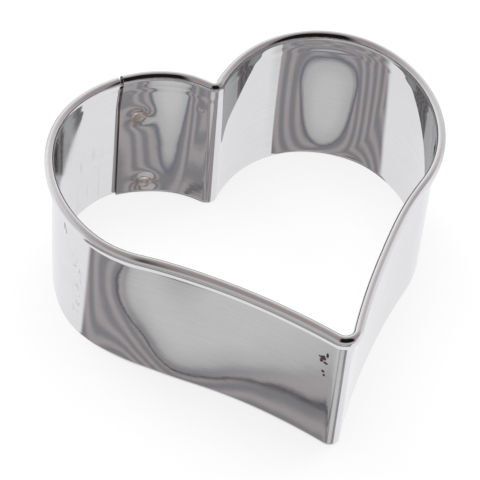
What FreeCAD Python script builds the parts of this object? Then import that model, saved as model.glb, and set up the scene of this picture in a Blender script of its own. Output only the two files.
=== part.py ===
import FreeCAD, Part
import math
import os
import Sketcher

# Heart cookie cutter: one strip of sheet steel, hemmed along its upper edge, bent to a heart and closed
# by two spot welds where its ends lie over each other in the left lobe.
# Millimetres and degrees. +Z is up, the cutting edge stands on z = 0, the tip points to -Y, and the
# origin is in the middle of the heart. The heart is measured on the inside face of the strip, which
# cuts the dough, and the hem and the lap lie outside it.

SIZES = {
    # strip
    "strip_height": 25.0,
    "strip_thickness": 0.35,
    # heart: two lobes, flanks that curve in a little, and a point
    "lobe_offset": 11.75,
    "crown_radius": 14.2,
    "crown_angle": 25.5,
    "side_radius": 17.2,
    "flank_radius": 92.0,
    "tip_radius": 1.1,
    "tip_depth": 35.35,
    # hem: its depth, the free radius inside its fold, the gap under its raw edge, and the free radius
    # that is left on its outside where the strip turns in at the notch
    "hem_depth": 2.2,
    "hem_bend_radius": 0.31,
    "hem_edge_gap": 0.45,
    "notch_bend_radius": 0.27,
    # lap: where the inner end shows, and the tongue that runs on behind it
    "seam_angle": 94.0,
    "hem_end_gap": 0.3,
    "lap_length": 8.0,
    "lap_gap": 0.06,
    "tongue_clearance": 0.3,
    # spot welds, set in from the visible end of the strip
    "weld_diameter": 2.4,
    "weld_dimple_diameter": 2.0,
    "weld_dimple_depth": 0.1,
    "upper_weld_height": 16.7,
    "upper_weld_inset": 3.0,
    "lower_weld_height": 2.3,
    "lower_weld_inset": 4.2,
    # cuts run past the faces that they open
    "overrun": 0.5,
}

# Sizes that follow from the sheet, as expressions.
LOBE_LINE = "(sizes.tip_depth - sizes.crown_radius) / 2"
HEM_RADIUS = "(sizes.strip_thickness + sizes.hem_bend_radius)"
NOTCH_RADIUS = f"(2 * {HEM_RADIUS} + sizes.notch_bend_radius)"
LAP_RADIUS = "(sizes.crown_radius + sizes.strip_thickness + sizes.lap_gap)"
LAP_OUTSIDE = f"({LAP_RADIUS} + sizes.strip_thickness)"
HEM_END_ANGLE = f"(sizes.seam_angle + sizes.hem_end_gap / {LAP_RADIUS} * 180 / pi)"
TONGUE_END_ANGLE = f"(sizes.seam_angle - sizes.lap_length / {LAP_RADIUS} * 180 / pi)"
TONGUE_HEIGHT = "(sizes.strip_height - sizes.hem_depth - sizes.tongue_clearance)"

# Points of a line or arc in a sketch, and the sketch's own axes.
START, END, CENTRE = range(1, 4)
X_AXIS, Y_AXIS = range(-1, -3, -1)

doc = FreeCAD.newDocument("heart_cutter")
sheet = doc.addObject("Spreadsheet::Sheet", "sizes")
for row, (alias, number) in enumerate(SIZES.items(), start=1):
    sheet.set(f"A{row}", alias)
    sheet.set(f"B{row}", str(number))
    sheet.setAlias(f"B{row}", alias)
doc.recompute()


def value(expression):
    """The number that an expression on the sheet gives."""
    return float(sheet.evalExpression(expression))


def direction(degrees):
    return FreeCAD.Vector(math.cos(math.radians(degrees)), math.sin(math.radians(degrees)), 0)


def heading(start, end):
    """Angle in radians of the way from one point to another."""
    return math.atan2(end.y - start.y, end.x - start.x)


def mirrored(point):
    return FreeCAD.Vector(-point.x, point.y, 0)


def crossing(first, first_reach, second, second_reach):
    """The point at two given reaches from two centres, to the left of the way from first to second."""
    way = second - first
    along = (first_reach**2 - second_reach**2 + way.Length**2) / (2 * way.Length)
    aside = math.sqrt(first_reach**2 - along**2)
    way.normalize()
    return first + way * along + FreeCAD.Vector(-way.y, way.x, 0) * aside


def arc(centre, radius, start, end):
    """Arc from one heading to the next, anticlockwise, both in radians."""
    while end < start:
        end += 2 * math.pi
    return Part.ArcOfCircle(Part.Circle(centre, FreeCAD.Vector(0, 0, 1), radius), start, end)


def new_sketch(body, name, role):
    sketch = body.newObject("Sketcher::SketchObject", name)
    plane = next(item for item in body.Origin.OriginFeatures if item.Role == role)
    sketch.AttachmentSupport = [(plane, "")]
    sketch.MapMode = "FlatFace"
    return sketch


def upright_sketch(body, name, angle, height="0"):
    """Sketch on an upright plane through the left lobe's axis: x runs outwards at the angle, y is up."""
    sketch = new_sketch(body, name, "XZ_Plane")
    turn = FreeCAD.Rotation(FreeCAD.Vector(0, 1, 0), value(angle))
    sketch.AttachmentOffset = FreeCAD.Placement(FreeCAD.Vector(0, 0, 0), turn)
    sketch.setExpression("AttachmentOffset.Base.x", "-sizes.lobe_offset")
    sketch.setExpression("AttachmentOffset.Base.y", height)
    sketch.setExpression("AttachmentOffset.Base.z", f"-{LOBE_LINE}")
    sketch.setExpression("AttachmentOffset.Rotation.Angle", angle)
    return sketch


def fix(sketch, kind, *picks):
    sketch.addConstraint(Sketcher.Constraint(kind, *picks))


def dimension(sketch, name, expression, kind, *picks):
    """Named dimension that follows an expression on the sheet."""
    number = value(expression)
    if kind == "Angle":
        number = math.radians(number)
    index = sketch.addConstraint(Sketcher.Constraint(kind, *picks, number))
    sketch.renameConstraint(index, name)
    sketch.setExpression(f"Constraints.{name}", expression)


def place_lobe_centre(sketch, side, pick):
    """Holds an arc's centre on the left or right lobe's axis."""
    offset = "sizes.lobe_offset" if side == "right" else "-sizes.lobe_offset"
    dimension(sketch, f"{side}_lobe_x", offset, "DistanceX", X_AXIS, START, pick, CENTRE)
    dimension(sketch, f"{side}_lobe_y", LOBE_LINE, "DistanceY", X_AXIS, START, pick, CENTRE)


def spoke(sketch, name, angle, centre_of, geometry, point):
    """Construction line from an arc's centre to a point on an arc, held at an angle."""
    start = sketch.getPoint(centre_of, CENTRE)
    line = sketch.addGeometry(Part.LineSegment(start, sketch.getPoint(geometry, point)), True)
    fix(sketch, "Coincident", line, START, centre_of, CENTRE)
    fix(sketch, "Coincident", line, END, geometry, point)
    dimension(sketch, name, angle, "Angle", line)


def draw_heart_path(body):
    """Inside face of the strip from the seam, round the heart to where the hem ends again."""
    sketch = new_sketch(body, "heart_path", "XY_Plane")
    crown = value("sizes.crown_radius")
    outer_crown = value(LAP_RADIUS)
    side = value("sizes.side_radius")
    flank = value("sizes.flank_radius")
    tip = value("sizes.tip_radius")
    notch = value(NOTCH_RADIUS)
    right_crown_end = direction(value("sizes.crown_angle"))
    left_crown_end = mirrored(right_crown_end)

    right_lobe = FreeCAD.Vector(value("sizes.lobe_offset"), value(LOBE_LINE), 0)
    left_lobe = mirrored(right_lobe)
    notch_centre = crossing(left_lobe, crown + notch, right_lobe, crown + notch)
    tip_centre = FreeCAD.Vector(0, right_lobe.y - value("sizes.tip_depth") + tip, 0)
    right_side = right_lobe + right_crown_end * (crown - side)
    right_flank = crossing(right_side, side + flank, tip_centre, tip + flank)
    left_flank = mirrored(right_flank)

    # The left side swells a little, so that the strip passes outside its own other end.
    gap = left_lobe - left_flank
    lean = gap.dot(left_crown_end)
    reach = gap.dot(gap) + 2 * outer_crown * lean + outer_crown**2 - flank**2
    left_radius = reach / (2 * (lean + outer_crown + flank))
    left_side = left_lobe + left_crown_end * (outer_crown - left_radius)

    seam = math.radians(value("sizes.seam_angle"))
    hem_end = math.radians(value(HEM_END_ANGLE))
    crown_end = math.radians(value("sizes.crown_angle"))
    arcs = [
        arc(left_lobe, crown, heading(left_lobe, notch_centre), seam),
        arc(notch_centre, notch, heading(notch_centre, left_lobe), heading(notch_centre, right_lobe)),
        arc(right_lobe, crown, crown_end, heading(right_lobe, notch_centre)),
        arc(right_side, side, heading(right_side, right_flank), crown_end),
        arc(right_flank, flank, heading(right_flank, right_side), heading(right_flank, tip_centre)),
        arc(tip_centre, tip, heading(tip_centre, left_flank), heading(tip_centre, right_flank)),
        arc(left_flank, flank, heading(left_flank, tip_centre), heading(left_flank, left_side)),
        arc(left_side, left_radius, math.pi - crown_end, heading(left_side, left_flank)),
        arc(left_lobe, outer_crown, hem_end, math.pi - crown_end),
    ]
    drawn = [sketch.addGeometry(item, False) for item in arcs]
    inner_lap, notch_bend, crown_arc, side_arc, flank_arc = drawn[:5]
    tip_bend, left_flank_arc, left_side_arc, outer_lap = drawn[5:]

    fix(sketch, "Tangent", inner_lap, START, notch_bend, START)
    fix(sketch, "Tangent", notch_bend, END, crown_arc, END)
    fix(sketch, "Tangent", crown_arc, START, side_arc, END)
    fix(sketch, "Tangent", side_arc, START, flank_arc, START)
    fix(sketch, "Tangent", flank_arc, END, tip_bend, END)
    fix(sketch, "Tangent", tip_bend, START, left_flank_arc, START)
    fix(sketch, "Tangent", left_flank_arc, END, left_side_arc, END)
    fix(sketch, "Tangent", left_side_arc, START, outer_lap, END)

    place_lobe_centre(sketch, "left", inner_lap)
    place_lobe_centre(sketch, "right", crown_arc)
    fix(sketch, "Coincident", outer_lap, CENTRE, inner_lap, CENTRE)
    fix(sketch, "PointOnObject", tip_bend, CENTRE, Y_AXIS)
    fix(sketch, "Symmetric", flank_arc, CENTRE, left_flank_arc, CENTRE, Y_AXIS)
    tip_y = f"{LOBE_LINE} - sizes.tip_depth + sizes.tip_radius"
    dimension(sketch, "tip_y", tip_y, "DistanceY", X_AXIS, START, tip_bend, CENTRE)
    dimension(sketch, "inner_lap_radius", "sizes.crown_radius", "Radius", inner_lap)
    dimension(sketch, "outer_lap_radius", LAP_RADIUS, "Radius", outer_lap)
    dimension(sketch, "crown_radius", "sizes.crown_radius", "Radius", crown_arc)
    dimension(sketch, "notch_radius", NOTCH_RADIUS, "Radius", notch_bend)
    dimension(sketch, "side_radius", "sizes.side_radius", "Radius", side_arc)
    dimension(sketch, "flank_radius", "sizes.flank_radius", "Radius", flank_arc)
    dimension(sketch, "tip_radius", "sizes.tip_radius", "Radius", tip_bend)
    spoke(sketch, "right_crown_angle", "sizes.crown_angle", crown_arc, crown_arc, START)
    spoke(sketch, "left_crown_angle", "180 - sizes.crown_angle", outer_lap, outer_lap, END)
    spoke(sketch, "seam_angle", "sizes.seam_angle", inner_lap, inner_lap, END)
    spoke(sketch, "hem_end_angle", HEM_END_ANGLE, outer_lap, outer_lap, START)
    return sketch


def draw_hem_section(body):
    """Section of the strip at the seam: the wall, and its upper edge folded outwards to an open hem.

    The fold is round outside and creased inside.
    """
    sketch = upright_sketch(body, "hem_section", "sizes.seam_angle")
    inside = value("sizes.crown_radius")
    sheet_thickness = value("sizes.strip_thickness")
    fold_outside = value(HEM_RADIUS)
    fold_inside = value("sizes.hem_bend_radius")
    height = value("sizes.strip_height")

    fold = FreeCAD.Vector(inside + fold_outside, height - fold_outside, 0)
    edge_out = inside + sheet_thickness + value("sizes.hem_edge_gap")
    raw_edge = FreeCAD.Vector(edge_out, height - value("sizes.hem_depth"), 0)
    to_edge = raw_edge - fold
    lean = heading(fold, raw_edge) + math.acos(fold_inside / to_edge.Length)
    outwards = direction(math.degrees(lean))
    crease = fold + FreeCAD.Vector(0, fold_inside, 0)
    wall_in = FreeCAD.Vector(inside, 0, 0)
    wall_out = FreeCAD.Vector(inside + sheet_thickness, 0, 0)
    rise = FreeCAD.Vector(0, fold.y, 0)
    shapes = [
        Part.LineSegment(wall_in, wall_in + rise),
        arc(fold, fold_outside, lean, math.pi),
        Part.LineSegment(fold + outwards * fold_outside, raw_edge + outwards * sheet_thickness),
        Part.LineSegment(raw_edge + outwards * sheet_thickness, raw_edge),
        Part.LineSegment(raw_edge, fold + outwards * fold_inside),
        Part.LineSegment(fold + outwards * fold_inside, crease),
        Part.LineSegment(crease, wall_out + rise),
        Part.LineSegment(wall_out + rise, wall_out),
        Part.LineSegment(wall_out, wall_in),
    ]
    drawn = [sketch.addGeometry(item, False) for item in shapes]
    inner_face, outer_fold, leg_outside, edge, leg_inside = drawn[:5]
    leg_crease, wall_crease, outer_face, cutting_edge = drawn[5:]
    across = sketch.addGeometry(Part.LineSegment(fold, fold + outwards * fold_outside), True)

    fix(sketch, "Tangent", inner_face, END, outer_fold, END)
    fix(sketch, "Tangent", outer_fold, START, leg_outside, START)
    fix(sketch, "Coincident", leg_outside, END, edge, START)
    fix(sketch, "Coincident", edge, END, leg_inside, START)
    fix(sketch, "Coincident", leg_inside, END, leg_crease, START)
    fix(sketch, "Coincident", leg_crease, END, wall_crease, START)
    fix(sketch, "Coincident", wall_crease, END, outer_face, START)
    fix(sketch, "Coincident", outer_face, END, cutting_edge, START)
    fix(sketch, "Coincident", cutting_edge, END, inner_face, START)
    fix(sketch, "Coincident", across, START, outer_fold, CENTRE)
    fix(sketch, "Coincident", across, END, outer_fold, START)
    fix(sketch, "PointOnObject", leg_inside, END, across)
    fix(sketch, "Horizontal", outer_face, START, outer_fold, CENTRE)
    fix(sketch, "Vertical", wall_crease, START, outer_fold, CENTRE)
    fix(sketch, "Vertical", inner_face)
    fix(sketch, "Vertical", outer_face)
    fix(sketch, "Parallel", leg_outside, leg_inside)
    fix(sketch, "Perpendicular", leg_outside, edge)
    fix(sketch, "PointOnObject", inner_face, START, X_AXIS)
    fix(sketch, "PointOnObject", outer_face, END, X_AXIS)
    dimension(sketch, "inside", "sizes.crown_radius", "DistanceX", X_AXIS, START, inner_face, START)
    fold_height = f"sizes.strip_height - {HEM_RADIUS}"
    dimension(sketch, "fold_height", fold_height, "DistanceY", X_AXIS, START, outer_fold, CENTRE)
    dimension(sketch, "fold_outside", HEM_RADIUS, "Radius", outer_fold)
    crease_rise = "sizes.hem_bend_radius"
    dimension(sketch, "crease_rise", crease_rise, "DistanceY", outer_fold, CENTRE, wall_crease, START)
    wall_out_x = "sizes.crown_radius + sizes.strip_thickness"
    dimension(sketch, "wall_out_x", wall_out_x, "DistanceX", X_AXIS, START, outer_face, END)
    dimension(sketch, "edge_thickness", "sizes.strip_thickness", "Distance", edge)
    edge_gap = "sizes.strip_thickness + sizes.hem_edge_gap"
    dimension(sketch, "edge_gap", edge_gap, "DistanceX", inner_face, START, edge, END)
    edge_height = "sizes.strip_height - sizes.hem_depth"
    dimension(sketch, "edge_height", edge_height, "DistanceY", X_AXIS, START, edge, END)
    return sketch


def draw_tongue(body):
    """Plan of the strip's outer end, which runs on behind the inner end without a hem."""
    sketch = new_sketch(body, "tongue_plan", "XY_Plane")
    lobe = FreeCAD.Vector(-value("sizes.lobe_offset"), value(LOBE_LINE), 0)
    inner = value(LAP_RADIUS)
    outer = value(LAP_OUTSIDE)
    first = value(TONGUE_END_ANGLE)
    last = value(HEM_END_ANGLE)
    face, back = (
        sketch.addGeometry(arc(lobe, radius, math.radians(first), math.radians(last)), False)
        for radius in (inner, outer)
    )
    ends = [(lobe + direction(a) * inner, lobe + direction(a) * outer) for a in (first, last)]
    raw_end, root = (sketch.addGeometry(Part.LineSegment(*points), False) for points in ends)
    for line, point in ((raw_end, START), (root, END)):
        fix(sketch, "Coincident", line, START, face, point)
        fix(sketch, "Coincident", line, END, back, point)
        fix(sketch, "PointOnObject", face, CENTRE, line)
    fix(sketch, "Coincident", back, CENTRE, face, CENTRE)
    place_lobe_centre(sketch, "left", face)
    dimension(sketch, "face_radius", LAP_RADIUS, "Radius", face)
    dimension(sketch, "back_radius", LAP_OUTSIDE, "Radius", back)
    dimension(sketch, "raw_end_angle", TONGUE_END_ANGLE, "Angle", raw_end)
    dimension(sketch, "root_angle", HEM_END_ANGLE, "Angle", root)
    return sketch


def weld_angle(weld):
    return f"(sizes.seam_angle - sizes.{weld}_weld_inset / sizes.crown_radius * 180 / pi)"


def cut_weld_hole(body, weld):
    """Round hole through both laps, which the weld fills."""
    sketch = upright_sketch(body, f"{weld}_hole_section", weld_angle(weld), f"sizes.{weld}_weld_height")
    near = value("sizes.crown_radius - sizes.overrun")
    far = value(f"{LAP_OUTSIDE} + sizes.overrun")
    radius = value("sizes.weld_diameter / 2")
    corners = [(near, 0), (far, 0), (far, radius), (near, radius)]
    points = [FreeCAD.Vector(x, y, 0) for x, y in corners]
    axis, end, wall, mouth = (
        sketch.addGeometry(Part.LineSegment(points[i], points[(i + 1) % len(points)]), False)
        for i in range(len(points))
    )
    for line, following in ((axis, end), (end, wall), (wall, mouth), (mouth, axis)):
        fix(sketch, "Coincident", line, END, following, START)
    fix(sketch, "PointOnObject", axis, START, X_AXIS)
    fix(sketch, "Horizontal", axis)
    fix(sketch, "Vertical", end)
    fix(sketch, "Horizontal", wall)
    fix(sketch, "Vertical", mouth)
    dimension(sketch, "near", "sizes.crown_radius - sizes.overrun", "DistanceX", X_AXIS, START, axis, START)
    dimension(sketch, "far", f"{LAP_OUTSIDE} + sizes.overrun", "DistanceX", X_AXIS, START, axis, END)
    dimension(sketch, "radius", "sizes.weld_diameter / 2", "DistanceY", end, START, end, END)
    hole = body.newObject("PartDesign::Groove", f"{weld}_weld_hole")
    hole.Profile = sketch
    hole.ReferenceAxis = (sketch, ["H_Axis"])
    hole.Angle = 360
    return hole


def make_strip():
    body = doc.addObject("PartDesign::Body", "heart_strip")
    body.Label = "heart_strip"
    hemmed = body.newObject("PartDesign::AdditivePipe", "hemmed_strip")
    hemmed.Profile = draw_hem_section(body)
    hemmed.Spine = draw_heart_path(body)
    tongue = body.newObject("PartDesign::Pad", "tongue")
    tongue.Profile = draw_tongue(body)
    tongue.setExpression("Length", TONGUE_HEIGHT)
    doc.recompute()
    uncut = body.Shape.Volume
    for weld in ("upper", "lower"):
        cut_weld_hole(body, weld)
        doc.recompute()
        if body.Shape.Volume >= uncut:
            raise RuntimeError(f"the {weld} weld's hole cuts nothing")
        uncut = body.Shape.Volume
    return body


def make_weld(weld):
    """Weld nugget through both laps, with the shallow dimple that the electrode leaves at each end."""
    body = doc.addObject("PartDesign::Body", f"{weld}_spot_weld")
    body.Label = f"{weld}_spot_weld"
    sketch = upright_sketch(body, f"{weld}_weld_section", weld_angle(weld), f"sizes.{weld}_weld_height")
    near = value("sizes.crown_radius")
    far = value(LAP_OUTSIDE)
    radius = value("sizes.weld_diameter / 2")
    dimple = value("sizes.weld_dimple_diameter / 2")
    depth = value("sizes.weld_dimple_depth")
    electrode = (dimple**2 + depth**2) / (2 * depth)
    near_ball = FreeCAD.Vector(near + depth - electrode, 0, 0)
    far_ball = FreeCAD.Vector(far - depth + electrode, 0, 0)
    lip = math.asin(dimple / electrode)
    near_floor = FreeCAD.Vector(near + depth, 0, 0)
    far_floor = FreeCAD.Vector(far - depth, 0, 0)
    near_lip = FreeCAD.Vector(near, dimple, 0)
    far_lip = FreeCAD.Vector(far, dimple, 0)
    near_edge = FreeCAD.Vector(near, radius, 0)
    far_edge = FreeCAD.Vector(far, radius, 0)
    shapes = [
        Part.LineSegment(near_floor, far_floor),
        arc(far_ball, electrode, math.pi - lip, math.pi),
        Part.LineSegment(far_lip, far_edge),
        Part.LineSegment(far_edge, near_edge),
        Part.LineSegment(near_edge, near_lip),
        arc(near_ball, electrode, 0, lip),
    ]
    axis, far_dimple, far_face, wall, near_face, near_dimple = (
        sketch.addGeometry(item, False) for item in shapes
    )
    fix(sketch, "Coincident", axis, END, far_dimple, END)
    fix(sketch, "Coincident", far_dimple, START, far_face, START)
    fix(sketch, "Coincident", far_face, END, wall, START)
    fix(sketch, "Coincident", wall, END, near_face, START)
    fix(sketch, "Coincident", near_face, END, near_dimple, END)
    fix(sketch, "Coincident", near_dimple, START, axis, START)
    for ball in (near_dimple, far_dimple):
        fix(sketch, "PointOnObject", ball, CENTRE, X_AXIS)
    fix(sketch, "PointOnObject", axis, START, X_AXIS)
    fix(sketch, "Horizontal", axis)
    fix(sketch, "Horizontal", wall)
    fix(sketch, "Vertical", near_face)
    fix(sketch, "Vertical", far_face)
    near_floor_out = "sizes.crown_radius + sizes.weld_dimple_depth"
    far_floor_out = f"{LAP_OUTSIDE} - sizes.weld_dimple_depth"
    dimension(sketch, "near_floor", near_floor_out, "DistanceX", X_AXIS, START, axis, START)
    dimension(sketch, "far_floor", far_floor_out, "DistanceX", X_AXIS, START, axis, END)
    dimension(sketch, "near_face", "sizes.crown_radius", "DistanceX", X_AXIS, START, near_face, START)
    dimension(sketch, "far_face", LAP_OUTSIDE, "DistanceX", X_AXIS, START, far_face, START)
    dimension(sketch, "radius", "sizes.weld_diameter / 2", "DistanceY", X_AXIS, START, wall, START)
    for side, face in (("near", near_face), ("far", far_face)):
        lip_point = END if side == "near" else START
        lip_height = "sizes.weld_dimple_diameter / 2"
        dimension(sketch, f"{side}_lip", lip_height, "DistanceY", X_AXIS, START, face, lip_point)
    nugget = body.newObject("PartDesign::Revolution", f"{weld}_nugget")
    nugget.Profile = sketch
    nugget.ReferenceAxis = (sketch, ["H_Axis"])
    nugget.Angle = 360
    return body


pieces = [make_strip()]
for weld in ("upper", "lower"):
    pieces.append(make_weld(weld))
doc.recompute()

for item in doc.Objects:
    if "Invalid" in item.State or "Error" in item.State:
        raise RuntimeError(f"{item.Label} failed to build")
for piece in pieces:
    if piece.Shape.isNull() or not piece.Shape.isValid():
        raise RuntimeError(f"{piece.Label} has no valid solid")
    if len(piece.Shape.Solids) != 1:
        raise RuntimeError(f"{piece.Label} is not one solid")

os.makedirs("parts", exist_ok=True)
for piece in pieces:
    piece.Shape.exportStep(f"parts/{piece.Label}.step")
    print(piece.Label, "volume", round(piece.Shape.Volume, 3))
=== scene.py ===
import math

import bmesh
import bpy
from mathutils import Matrix, Vector, noise


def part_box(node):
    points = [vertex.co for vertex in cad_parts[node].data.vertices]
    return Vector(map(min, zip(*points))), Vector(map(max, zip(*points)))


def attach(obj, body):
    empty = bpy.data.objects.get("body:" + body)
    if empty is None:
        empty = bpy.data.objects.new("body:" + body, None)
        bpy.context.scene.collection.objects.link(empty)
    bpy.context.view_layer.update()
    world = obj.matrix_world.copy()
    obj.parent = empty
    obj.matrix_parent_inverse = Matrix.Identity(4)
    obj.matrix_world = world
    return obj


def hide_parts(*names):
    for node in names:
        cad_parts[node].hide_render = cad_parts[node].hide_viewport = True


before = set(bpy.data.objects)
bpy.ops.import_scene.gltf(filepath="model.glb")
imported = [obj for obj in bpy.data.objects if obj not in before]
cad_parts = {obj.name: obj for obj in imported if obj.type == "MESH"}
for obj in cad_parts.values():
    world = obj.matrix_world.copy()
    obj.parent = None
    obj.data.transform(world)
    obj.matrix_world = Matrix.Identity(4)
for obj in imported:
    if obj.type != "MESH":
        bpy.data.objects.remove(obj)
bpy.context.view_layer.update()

# Heart cookie cutter. Metres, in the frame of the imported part: the cutting edge stands on z = 0, the tip
# points to -Y, and the heart is measured on the inside face of its strip.
MM = 0.001
UP = Vector((0, 0, 1))
QUARTER = math.pi / 2
TINY = 0.001 * MM

# Sheet and heart
SHEET = 0.35 * MM
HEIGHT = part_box("heart_strip")[1].z
LOBE_OFFSET = 11.75 * MM
CROWN_RADIUS = 14.2 * MM
CROWN_ANGLE = math.radians(25.5)
SIDE_RADIUS = 17.2 * MM
FLANK_RADIUS = 92.0 * MM
TIP_RADIUS = 1.1 * MM
TIP_DEPTH = 35.35 * MM
NOTCH_RADIUS = 1.59 * MM

# Hem, from the inside of the wall over the crest to the leg that curls back to the wall: the radius of each
# bend in mm, the lean in degrees at which it ends, and its steps. A lean is the way the outside faces, from
# straight up.
WALL_LEAN = -90
HEM_BENDS = [
    (1.6, -74, 4),
    (0.75, -30, 10),
    (0.5, 40, 14),
    (0.95, 90, 8),
    (5.4, 103, 6),
]
EDGE_ROUND = 0.05 * MM

# Lap: the inner end shows at the seam, and the outer end runs on behind it as a tongue.
SEAM_ANGLE = math.radians(93)
HEM_END_GAP = 0.3 * MM
LAP_GAP = 0.06 * MM
LAP_LENGTH = 8.0 * MM
LAP_RADIUS = CROWN_RADIUS + SHEET + LAP_GAP
LAP_THICKNESS = SHEET + LAP_GAP + SHEET
TONGUE_TOP = 23.3 * MM

# How the two ends lie at the seam: the outer one stands off, the inner one stays straight for a bit, and
# the hem leans along the strip at both and sinks at the outer one
SEAM_BULGE = 0.12 * MM
SEAM_BULGE_REACH = 4.5 * MM
TONGUE_BULGE_REACH = 0.8 * MM
FLAT_END = 1.4 * MM
HEM_SLIDE = 0.45 * MM
HEM_SLIDE_REACH = 3.0 * MM
HEM_SLIDE_START = 19.0 * MM
HEM_DROP = 0.7 * MM
HEM_DROP_REACH = 8.0 * MM
HEM_DROP_POWER = 6
TONGUE_DROP_REACH = 0.5 * MM

# Spot welds: the nugget, the dish that the electrode left in it, and the pinch of the sheets round it
WELD_RADIUS = 1.2 * MM
NUGGET_RADIUS = 1.19 * MM
DISH_RADIUS = 0.95 * MM
DISH_DEPTH = 0.09 * MM
PINCH_DEPTH = 0.07 * MM
PINCH_REACH = 1.5 * MM

# Steps of the mesh along the strip, up its wall, round its edges and round the nuggets
LAP_STEP = 0.25 * MM
WALL_STEP = 0.55 * MM
TIGHT_STEP = 0.12 * MM
ROW_STEP = 0.45 * MM
TOP_ROW_STEP = 0.16 * MM
WALL_ROWS = round(TONGUE_TOP / ROW_STEP)
EDGE_STEPS = 3
DISH_STEPS = 8
LIP_STEPS = 3
NUGGET_ROWS = 2
NUGGET_SIDES = 48
SHARP_ANGLE = math.radians(35)


def heading(start, end):
    return math.atan2(end.y - start.y, end.x - start.x)


def spoke(angle):
    return Vector((math.cos(angle), math.sin(angle), 0))


def mirrored(point):
    return Vector((-point.x, point.y, 0))


def crossing(first, first_reach, second, second_reach):
    """The point at two given reaches from two centres, to the left of the way from first to second."""
    way = second - first
    along = (first_reach**2 - second_reach**2 + way.length_squared) / (2 * way.length)
    aside = math.sqrt(first_reach**2 - along**2)
    way.normalize()
    return first + way * along + UP.cross(way) * aside


# Centres of the heart's bends
RIGHT_LOBE = Vector((LOBE_OFFSET, (TIP_DEPTH - CROWN_RADIUS) / 2, 0))
LEFT_LOBE = mirrored(RIGHT_LOBE)
NOTCH = crossing(LEFT_LOBE, CROWN_RADIUS + NOTCH_RADIUS, RIGHT_LOBE, CROWN_RADIUS + NOTCH_RADIUS)
TIP = Vector((0, RIGHT_LOBE.y - TIP_DEPTH + TIP_RADIUS, 0))
RIGHT_SIDE = RIGHT_LOBE + spoke(CROWN_ANGLE) * (CROWN_RADIUS - SIDE_RADIUS)
RIGHT_FLANK = crossing(RIGHT_SIDE, SIDE_RADIUS + FLANK_RADIUS, TIP, TIP_RADIUS + FLANK_RADIUS)
LEFT_FLANK = mirrored(RIGHT_FLANK)
LEFT_CROWN_ANGLE = math.pi - CROWN_ANGLE


def left_side():
    """Centre and radius of the left side, which swells so that the strip passes outside its other end."""
    leave = spoke(LEFT_CROWN_ANGLE)
    gap = LEFT_LOBE - LEFT_FLANK
    lean = gap.dot(leave)
    reach = gap.length_squared + 2 * LAP_RADIUS * lean + LAP_RADIUS**2 - FLANK_RADIUS**2
    radius = reach / (2 * (lean + LAP_RADIUS + FLANK_RADIUS))
    return LEFT_LOBE + leave * (LAP_RADIUS - radius), radius


LEFT_SIDE, LEFT_SIDE_RADIUS = left_side()
HEM_END_ANGLE = SEAM_ANGLE + HEM_END_GAP / LAP_RADIUS
TONGUE_END_ANGLE = SEAM_ANGLE - LAP_LENGTH / LAP_RADIUS


class Bend:
    """One arc of the strip: it turns about a centre from one heading to the next."""

    def __init__(self, centre, radius, start, end, step, hollow=False):
        self.centre = centre
        self.radius = radius
        self.angle = (end - start) % math.tau - (0 if hollow else math.tau)
        self.length = radius * abs(self.angle)
        self.steps = math.ceil(self.length / step)


def bend_between(centre, radius, before, after, step, hollow=False):
    return Bend(centre, radius, heading(centre, before), heading(centre, after), step, hollow)


TIP_BEND = bend_between(TIP, TIP_RADIUS, RIGHT_FLANK, LEFT_FLANK, TIGHT_STEP)
BENDS_TO_TIP = [
    Bend(LEFT_LOBE, CROWN_RADIUS, SEAM_ANGLE, heading(LEFT_LOBE, NOTCH), LAP_STEP),
    bend_between(NOTCH, NOTCH_RADIUS, LEFT_LOBE, RIGHT_LOBE, TIGHT_STEP, hollow=True),
    Bend(RIGHT_LOBE, CROWN_RADIUS, heading(RIGHT_LOBE, NOTCH), CROWN_ANGLE, WALL_STEP),
    Bend(RIGHT_SIDE, SIDE_RADIUS, CROWN_ANGLE, heading(RIGHT_SIDE, RIGHT_FLANK), WALL_STEP),
    bend_between(RIGHT_FLANK, FLANK_RADIUS, RIGHT_SIDE, TIP, WALL_STEP, hollow=True),
]
BENDS_FROM_TIP = [
    bend_between(LEFT_FLANK, FLANK_RADIUS, TIP, LEFT_SIDE, WALL_STEP, hollow=True),
    Bend(LEFT_SIDE, LEFT_SIDE_RADIUS, heading(LEFT_SIDE, LEFT_FLANK), LEFT_CROWN_ANGLE, WALL_STEP),
    Bend(LEFT_LOBE, LAP_RADIUS, LEFT_CROWN_ANGLE, HEM_END_ANGLE, WALL_STEP),
]
TONGUE_BEND = Bend(LEFT_LOBE, LAP_RADIUS, HEM_END_ANGLE, TONGUE_END_ANGLE, LAP_STEP)

# Lengths along the strip count from the tip: the inner end, and the end of the hem at the seam
INNER_END = -sum(bend.length for bend in BENDS_TO_TIP) - TIP_BEND.length / 2
HEM_END = sum(bend.length for bend in BENDS_FROM_TIP) + TIP_BEND.length / 2

# Where the strip has sprung from the true heart, in mm: plan point, reach, shift of the rim, of the edge
SPRINGS = [
    ((15.5, -7.8), 6.0, (-0.19, 0.21), (0, 0)),
    ((-24.0, 1.5), 5.0, (-0.19, -0.07), (0.17, 0.07)),
    ((-25.6, 13.5), 5.0, (0, 0), (0.29, -0.07)),
    ((-14.0, 24.6), 5.0, (0, -0.05), (0, 0.38)),
    ((0, 20.8), 3.0, (-0.35, -0.1), (-0.25, -0.05)),
    ((19.0, 22.9), 6.0, (0, 0), (-0.11, -0.19)),
    ((-15.5, -7.7), 5.0, (0, 0), (-0.15, -0.17)),
]
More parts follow.
